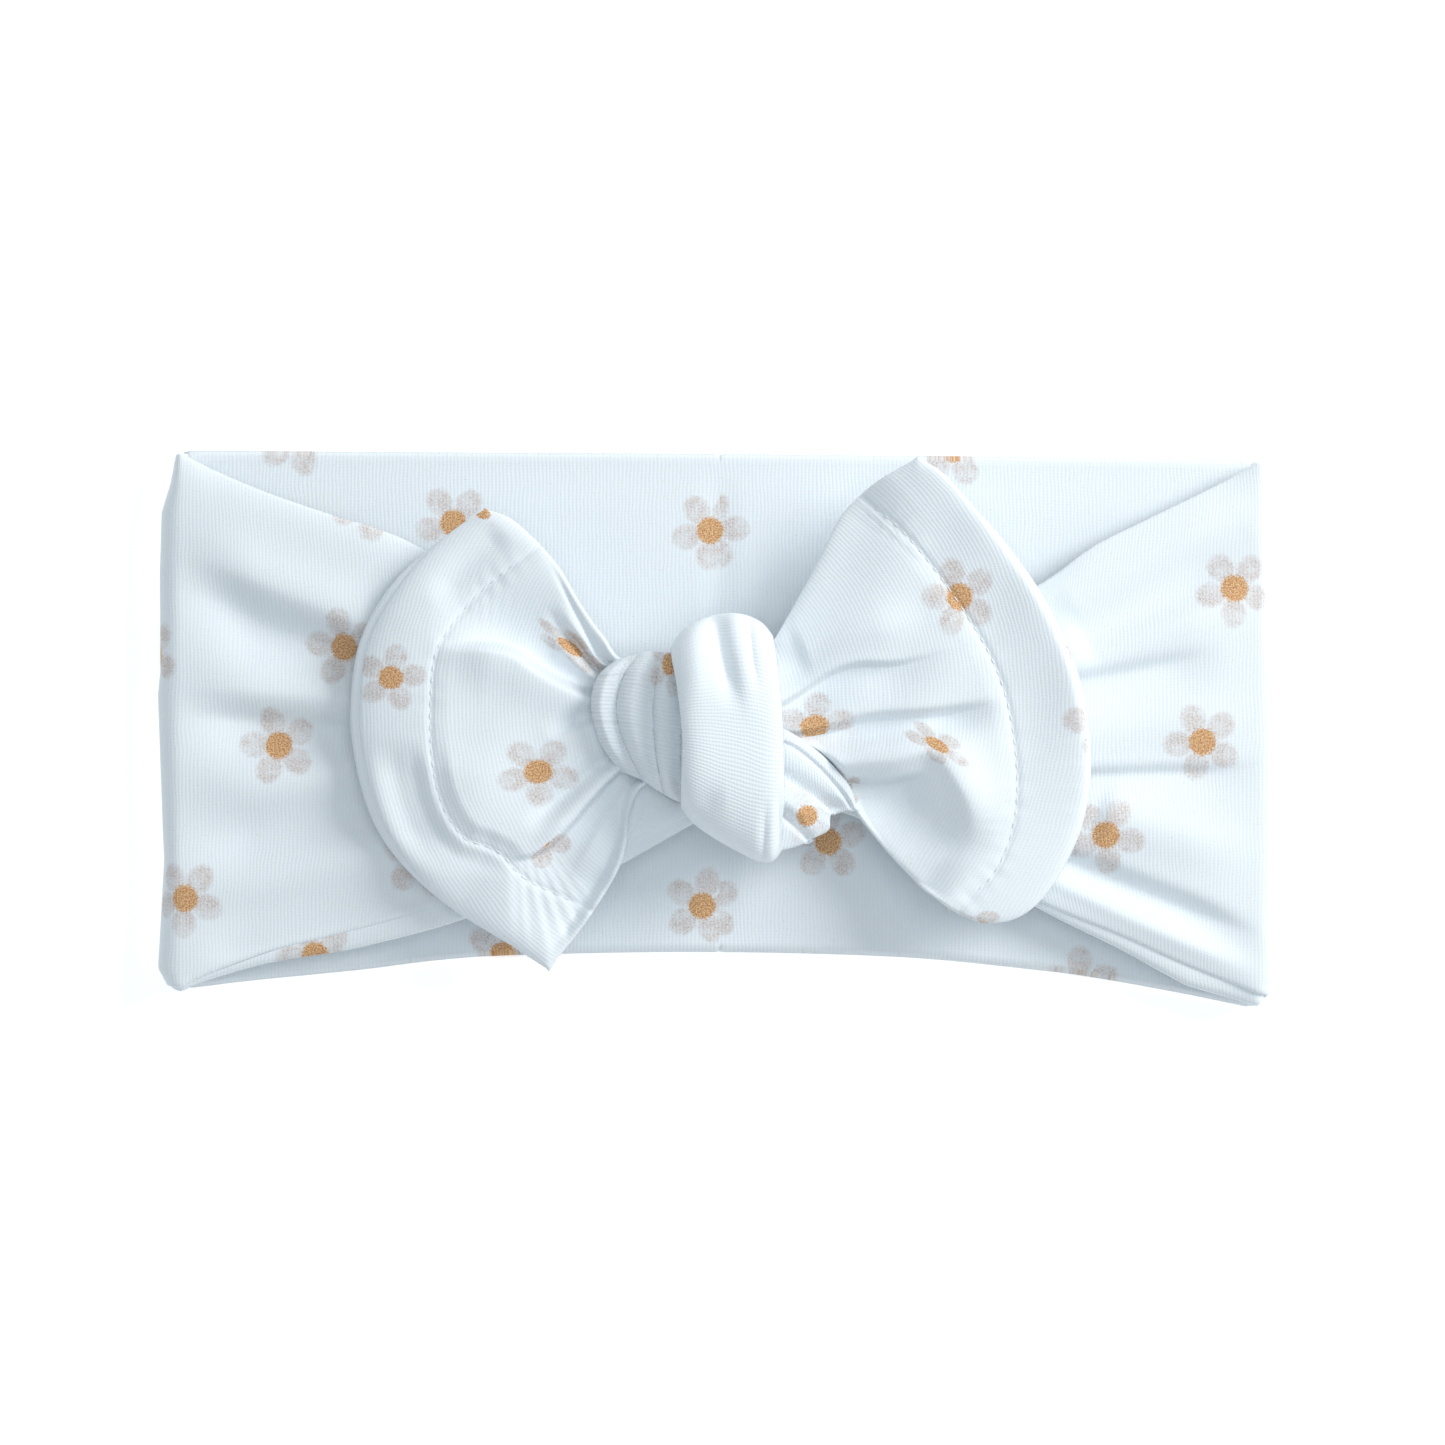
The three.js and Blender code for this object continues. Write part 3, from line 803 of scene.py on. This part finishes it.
# Where the left tail's main lobe drops to the flap below it: the path, the drop and its width.
LOBE_EDGE = ([(-13, -4.6), (-16.1, -6.4), (-20.5, -11.0), (-23.8, -14.9), (-27.2, -18.2), (-30.5, -19.8),
              (-34, -20)], 3.4, 0.9)
EDGE_FALLS = {  # where the long edges of a tail turn away from the viewer and sink
    "left": [
        ([(-16.8, -22.5), (-21, -29.4), (-27.1, -38.2)], -0.8, 3, 3, 0.2, 0.1),
    ],
    "right": [
        ([(1, 1), (8.3, 13.7), (15.6, 26.4), (20.6, 35.4), (27, 41)], -2.9, 9, 9, 0.3, 0.2),
        ([(12, 2), (18.6, -6.4), (21.9, -12.8), (27.9, -20.8), (36.2, -28.3)], -3, 7.5, 7.5, 0.45, 0.15),
    ],
}


def edge_distance(plan):
    """How far each point of a grid is from the nearest of its two side edges and its end, in mm."""
    low = np.linalg.norm(plan - plan[:, :1], axis=2)
    high = np.linalg.norm(plan - plan[:, -1:], axis=2)
    far = np.linalg.norm(plan - plan[-1:], axis=2)
    return np.minimum(np.minimum(low, high), far), far


def drawn_out(plan, reach):
    """A plan with its end drawn out by up to reach mm, except near its two corners."""
    u, v = shares(plan.shape)
    outward = plan[-1] - plan[-2]
    outward /= np.linalg.norm(outward, axis=1, keepdims=True)
    part = (smooth(v, 0.12, 0.4) * (1 - smooth(v, 0.78, 0.96)))[..., None]
    return plan + reach * u[..., None] ** 4 * outward * part


def tail_points(word, cells, peek=0.0):
    """A tail's upper face. peek is how far the back layer shows past the front one's end."""
    tail = TAILS[word]
    plan = patch(tail["root"], tail["end"], tail["lower"], tail["upper"], cells)
    if peek:
        plan = drawn_out(plan, peek)
    u = shares(cells)[0]
    edge, far = edge_distance(plan)
    at_root, fullest, at_stitching, at_end = tail["heights"]
    stitched = np.array(tail["stitched"])
    past_edges = np.vstack([2 * stitched[0] - stitched[1], stitched, 2 * stitched[-1] - stitched[-2]])
    gap, share = near_path(plan, past_edges)
    beyond = -SIDES[word] * gap  # how far past the stitching, towards the end
    inner = at_root + (fullest - at_root) * smooth(u, 0, 0.85)
    turn_up = smooth(share, *tail["curl"])
    hem = at_stitching + (at_end - at_stitching) * turn_up * np.clip(beyond / HEM, 0, 1) ** 1.5
    z = hem + (inner - hem) * (1 - smooth(beyond, -3.0, 0.2))
    rise, fall = tail["bulge"]
    beside = smooth(-plan[..., 1], 1, 8) * (1 - smooth(-plan[..., 1], 16, 24))
    z = z + beside * rise * smooth(-beyond, 0.7, 3.2) * (1 - smooth(-beyond, 4.5, 15))
    z = z - beside * fall * smooth(beyond, 0.5, 3.6) * (1 - smooth(beyond, 5.5, HEM))
    relief = folds(plan, TAIL_FOLDS[word])
    if word == "left":
        relief = relief + ledge(plan, *LOBE_EDGE)
    z = z + relief * smooth(far, 0.0, 8.0) * smooth(edge, -0.5, 1.6)
    z = z + folds(plan, EDGE_FALLS[word]) * smooth(far, -1.0, 8.0)
    z = z + 0.3 * wander(plan, 16, 5 if word == "left" else 9) * smooth(u, 0.1, 0.6)
    z = z - 0.8 * np.exp(-edge / 1.0)
    z = z - STITCH_GROOVE * np.exp(-((gap / 0.5) ** 2))  # the stitching pulls the cloth in
    rng = np.random.default_rng(4)
    uneven = np.interp(share, np.linspace(0, 1, 60), rng.uniform(-1, 1, 60))
    z = z + HEM_UNEVEN * uneven * np.exp(-((gap / 2.0) ** 2))
    return np.dstack([plan, z])


def surface_height(points):
    """A lookup of the upper face's height, in mm, by its nearest grid point."""
    flat = points.reshape(-1, 3)

    def height(x, y):
        return flat[np.argmin((flat[:, 0] - x) ** 2 + (flat[:, 1] - y) ** 2), 2]
    return height


def make_stitches(word, points):
    """The row of short stitches that holds a tail's hem."""
    height = surface_height(points)
    path = curve(TAILS[word]["stitched"], 400)
    run = run_along(path)
    pitch, length, width = 1.9, 1.15, 0.12
    steps, facets = 5, 6  # along a stitch and round it
    vertices, faces = [], []
    for start in np.arange(1.0, run[-1] - length - 0.5, pitch):
        places = start + length * np.linspace(0, 1, steps + 1)
        xs, ys = (np.interp(places, run, path[:, k]) for k in (0, 1))
        base = len(vertices)
        for i, (x, y) in enumerate(zip(xs, ys)):
            t = i / steps
            z = height(x, y) - 0.02 + 0.1 * math.sin(math.pi * t)
            heading = math.atan2(ys[-1] - ys[0], xs[-1] - xs[0]) + math.pi / 2
            girth = width * (0.45 + 0.55 * math.sin(math.pi * t))
            for k in range(facets):
                a = 2 * math.pi * k / facets
                out = girth * math.cos(a)
                vertices.append(((x + out * math.cos(heading)) * MM, (y + out * math.sin(heading)) * MM,
                                 (z + 0.7 * girth * math.sin(a)) * MM))
        for i in range(steps):
            for k in range(facets):
                here, ahead = base + facets * i + k, base + facets * i + (k + 1) % facets
                faces.append((here, ahead, ahead + facets, here + facets))
        faces.append(tuple(base + k for k in reversed(range(facets))))
        faces.append(tuple(base + steps * facets + k for k in range(facets)))
    mesh = new_mesh(word + "_hem_stitches", vertices, faces)
    smooth_and_point_out(mesh)
    piece = new_object(word + "_hem_stitches", mesh)
    return piece


def thread():
    material, n, shader = new_material("sewing_thread")
    place = n.add("ShaderNodeTexCoord").outputs["Object"]
    twist = n.noise(place, 5200.0)
    colour = n.blend(twist, linear(226, 233, 238), linear(248, 250, 252))
    bump = n.add("ShaderNodeBump", {"Strength": 0.5, "Distance": 0.00004, "Height": twist})
    n.give(shader, {"Base Color": colour, "Normal": bump.outputs[0], "Roughness": 0.6})
    return material


# ---- The knot ----

WRAP = {
    # By place across the strap, from -1 at its left edge to 1 at its right one: how far up and down in Y.
    "across": [-1, -0.8, -0.5, -0.1, 0.3, 0.6, 0.85, 1],
    "top": [12.6, 14.9, 16.4, 17.4, 17.7, 17.3, 16.2, 14.4],
    "bottom": [-12, -14.2, -16, -17.8, -19.3, -20.2, -20.2, -18.8],
    # By place in Y: where those two edges are in X.
    "left": [(-22, -4.2), (-12, -5.5), (-2, -5.3), (6.5, -6.1), (12.7, -7.1), (19, -7)],
    "right": [(-22, 8.9), (-18.6, 9.3), (-11, 9.8), (-6.6, 9.6), (3.6, 9.3), (11.6, 8.4), (19, 7)],
}
WRAP_FOLDS = [
    ([(-1.2, 19), (-0.1, 13.3), (1.2, 7.5), (2.4, 2.5)], -1.9, 2.2, 1.5, 0, 0.45),
    ([(2.2, 19), (2.6, 13), (4.2, 6), (5, 0)], 0.6, 1.6, 1.2, 0, 0.5),
    ([(4.4, 19), (5, 12), (6, 5)], -0.6, 0.7, 0.9, 0, 0.5),
    ([(-4, 16), (-3.6, 9), (-3.4, 2)], 0.6, 1.6, 1.6, 0, 0.6),
    ([(-4.5, -14), (-2, -11.5), (1.5, -11)], -0.7, 2.4, 2.6, 0, 0.5),
    ([(8.6, -21), (8.9, -14), (8.9, -8)], -1, 0.5, 0.8, 0, 0.5),
    ([(6.8, -21), (7, -15), (7.2, -10)], -0.5, 0.8, 0.8, 0, 0.6),
]
WRAP_Z = 17.0
WRAP_HALF_Z = 9.4
WRAP_TILT = 1.1  # the strap's left edge lies this much higher than its middle
FLATTER = 2 / 2.7  # a boxy round, flatter on top than a circle


def wrap_points():
    count_a, count_w = 240, 90
    a = np.linspace(-math.pi / 2, 1.5 * math.pi, count_a)[:, None]
    w = np.linspace(-1, 1, count_w)[None]
    top = along_curve(list(zip(WRAP["across"], WRAP["top"])), w)
    bottom = along_curve(list(zip(WRAP["across"], WRAP["bottom"])), w)
    middle, half = (top + bottom) / 2, (top - bottom) / 2
    barrel = 1 - 0.14 * np.abs(w) ** 7
    y = middle + half * np.sign(np.cos(a)) * np.abs(np.cos(a)) ** FLATTER
    z = WRAP_Z + WRAP_HALF_Z * barrel * np.sign(np.sin(a)) * np.abs(np.sin(a)) ** FLATTER
    z = z - WRAP_TILT * w * smooth(np.sin(a), 0.0, 0.7)
    left = along_curve(WRAP["left"], y)
    right = along_curve(WRAP["right"], y)
    x = left + (right - left) * (w + 1) / 2
    points = np.dstack([x, y, z])
    points[..., 2] += folds(points[..., :2], WRAP_FOLDS) * smooth(np.sin(a), 0.0, 0.25)
    return points


CORE_SHARES = (0.96, 0.93, 0.88)  # the core's size in X, Y and Z as shares of the wrap's


def core_points():
    """The cloth packed inside the wrap: a plug just under it, pleated and closing at its two ends."""
    points = wrap_points()
    count_a, count_w = points.shape[:2]
    a = np.linspace(0, 2 * math.pi, count_a)[:, None]
    w = np.linspace(-1, 1, count_w)[None]
    closing = np.maximum((1 - np.abs(w) ** 8) ** 0.4, 0.15)
    closing = closing * (1 - 0.07 * (0.5 + 0.5 * np.cos(13 * a)) * smooth(np.abs(w), 0.5, 0.95))
    middle = (points[..., 1].max(0) + points[..., 1].min(0))[None] / 2
    centre_x = (points[:, 0, 0] + points[:, -1, 0])[:, None] / 2
    share_x, share_y, share_z = CORE_SHARES
    points[..., 0] = centre_x + (points[..., 0] - centre_x) * share_x
    points[..., 1] = middle + (points[..., 1] - middle) * share_y * closing
    points[..., 2] = WRAP_Z + (points[..., 2] - WRAP_Z) * share_z * closing
    return points[::2]


TURN_PATCH = {
    "root": [(-3.5, -13), (-3, 0), (-4.5, 12.6)],
    "end": [(-15.9, -6.6), (-18.8, -2.2), (-20.3, 3.4), (-19.4, 8.2), (-16.6, 11)],
    "lower": [(-3.5, -13), (-8.7, -10.4), (-12.1, -8.2), (-15.9, -6.6)],
    "upper": [(-4.5, 12.6), (-8.1, 12.2), (-11.5, 12.4), (-16.6, 11)],
}
ROLLS = [  # each roll's left edge, as its share of the way out at the bottom, middle and top
    (1, 1, 1),
    (0.70, 0.77, 0.68),
    (0.42, 0.43, 0.36),
    (0.20, 0.17, 0.02),
]
ROLL_HEIGHT = 2.2


def turn_points():
    """The rolls of cloth that go round the left of the knot, each lying over the one on its left."""
    cells = (170, 110)
    plan = patch(**TURN_PATCH, cells=cells)
    u, v = shares(cells)
    arch = np.sqrt(np.clip(1 - 0.97 * np.abs(2 * v - 1) ** 2.4, 0, 1))
    z = 13.6 + (8.0 - 4.4 * u) * arch
    edges = [along_curve([(0, low), (0.5, middle), (1, high)], v) for low, middle, high in ROLLS]
    edges.append(np.full_like(v, -0.25))
    for outer, inner in zip(edges, edges[1:]):
        t = (outer - u) / (outer - inner)  # 0 at the roll's left edge, 1 where it goes under the next
        within = (t >= 0) & (t < 1)
        round_edge = np.sqrt(np.clip(1 - (1 - np.clip(t / 0.45, 0, 1)) ** 2, 0, 1))
        profile = ROLL_HEIGHT * (round_edge - 0.75 * smooth(t, 0.35, 1.0))
        z = z + np.where(within, profile, 0) * (0.3 + 0.7 * arch)
    return np.dstack([plan, z])


NECK_PATCH = {
    "root": [(6.5, -18.4), (7, -10), (6.5, -1)],
    "end": [(14.8, -17.4), (17.4, -16), (18, -13.4), (22, -12.9)],
    "lower": [(6.5, -18.4), (9.2, -19.2), (12.6, -18.5), (14.8, -17.4)],
    "upper": [(6.5, -0.6), (9.7, 0.3), (15.8, -3.6), (20.5, -8.7), (22, -12.9)],
}

NECK_FOLDS = [
    ([(6, -1.8), (11, -2.4), (15.6, -5.8), (19.6, -10.2), (21.6, -13.4)], -0.7, 0.3, 0.4, 0, 0),
    ([(6, -6.4), (9.8, -7.6), (14, -10.2), (18.5, -13.2)], -1.3, 1.6, 0.4, 0, 0),
    ([(6, -12), (9.8, -13.4), (13, -16.3), (14.6, -18)], -1.6, 0.9, 0.5, 0, 0.1),
    ([(7, -10), (11, -11.4), (15, -14.4)], 0.8, 1.8, 1.6, 0, 0.2),
]


def neck_points():
    """The gathered cloth that comes out of the knot below the right tail."""
    cells = (90, 110)
    plan = patch(**NECK_PATCH, cells=cells)
    u = shares(cells)[0]
    edge = edge_distance(plan)[0]
    z = 17.6 - 3.4 * smooth(u) + 0.8 * np.sin(math.pi * u) * smooth(edge, 0, 4)
    z = z + folds(plan, NECK_FOLDS) * smooth(edge, -0.4, 1.0)
    z = z - 0.7 * np.exp(-edge / 0.5)
    return np.dstack([plan, z])


KNOT_DAISIES = [(13.9, -13.7, 0.78, 0.78, 0, None, 0.45), (-7.9, 10.3, 0.55, 0.85, 0, None, 0.7)]

# ---- Making and placing everything ----

PLIES_APART = 1.1  # between the upper faces of a tail's two layers
PEEK = {"left": 1.5, "right": 0.5}  # how far a tail's back layer shows past the front one's end
CORE_PLY = 0.4
PULLED_WRAP, PULLED_KNOT = 1.6, 2.3  # how much more the ribs stand out on the knot, in bumps and in painted shade

thread_material = thread()
backs = {word: make_back(side, word) for word, side in SIDES.items()}
arms = {word: make_arm(word) for word in SIDES}
tails = {}
for word in SIDES:
    points = tail_points(word, (150, 220))
    flat = np.dstack([points[..., :2], 0 * points[..., 2]])
    front = dress(cloth_piece(word + "_tail_front", points, PLY, ribs=flat),
                  knit(word + "_tail_knit", TAILS[word]["daisies"]))
    under = tail_points(word, (80, 120), PEEK[word])
    under[..., 2] -= PLIES_APART
    back = dress(cloth_piece(word + "_tail_back", under, PLY),
                 knit(word + "_tail_back_knit", TAIL_BACK_DAISIES[word]))
    stitches = dress(make_stitches(word, points), thread_material)
    tails[word] = (front, back, stitches)

wrap = wrap_points()
straight = np.repeat(wrap[:, [wrap.shape[1] // 2]], wrap.shape[1], 1)
plain_knit = knit("knot_wrap_knit", [], PULLED_WRAP)
knot_wrap = dress(cloth_piece("knot_wrap_cloth", wrap, PLY, ribs=straight), plain_knit)
knot_core = dress(cloth_piece("knot_core_cloth", core_points(), CORE_PLY), plain_knit)
knot_knit = knit("knot_knit", KNOT_DAISIES, PULLED_KNOT)
knot_turn = dress(cloth_piece("knot_turn_cloth", turn_points(), PLY, turn_ribs=True), knot_knit)
knot_neck = dress(cloth_piece("knot_neck_cloth", neck_points(), PLY), knot_knit)

# The bodies that the hem stitches and the knot's pieces follow, and the solids that the pieces stand for.
for word, side in SIDES.items():
    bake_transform(backs[word])
    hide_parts(*(word + "_back" + end for end in ("_outer_layer", "_inner_layer", "_seam")))
    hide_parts(word + "_arm_outer_layer", word + "_fold_outer_layer")
    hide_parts(word + "_arm_inner_layer", word + "_arm_seam", word + "_fold_inner_layer")
    front, back, stitches = tails[word]
    for layer in (front, back):
        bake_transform(layer)
    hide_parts(word + "_tail_front_layer")
    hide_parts(word + "_tail_back_layer", word + "_tail_hem")
    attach(stitches, word + "_tail")
    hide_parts(word + "_tail_stitching")
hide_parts("nape_outer_layer", "nape_inner_layer", "nape_seam")
for piece in (knot_wrap, knot_core, knot_turn, knot_neck):
    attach(piece, "knot")
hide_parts("knot_wrap")
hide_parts("knot_core")
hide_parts("knot_turn", "left_neck")
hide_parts("knot_lower_fold", "right_neck")
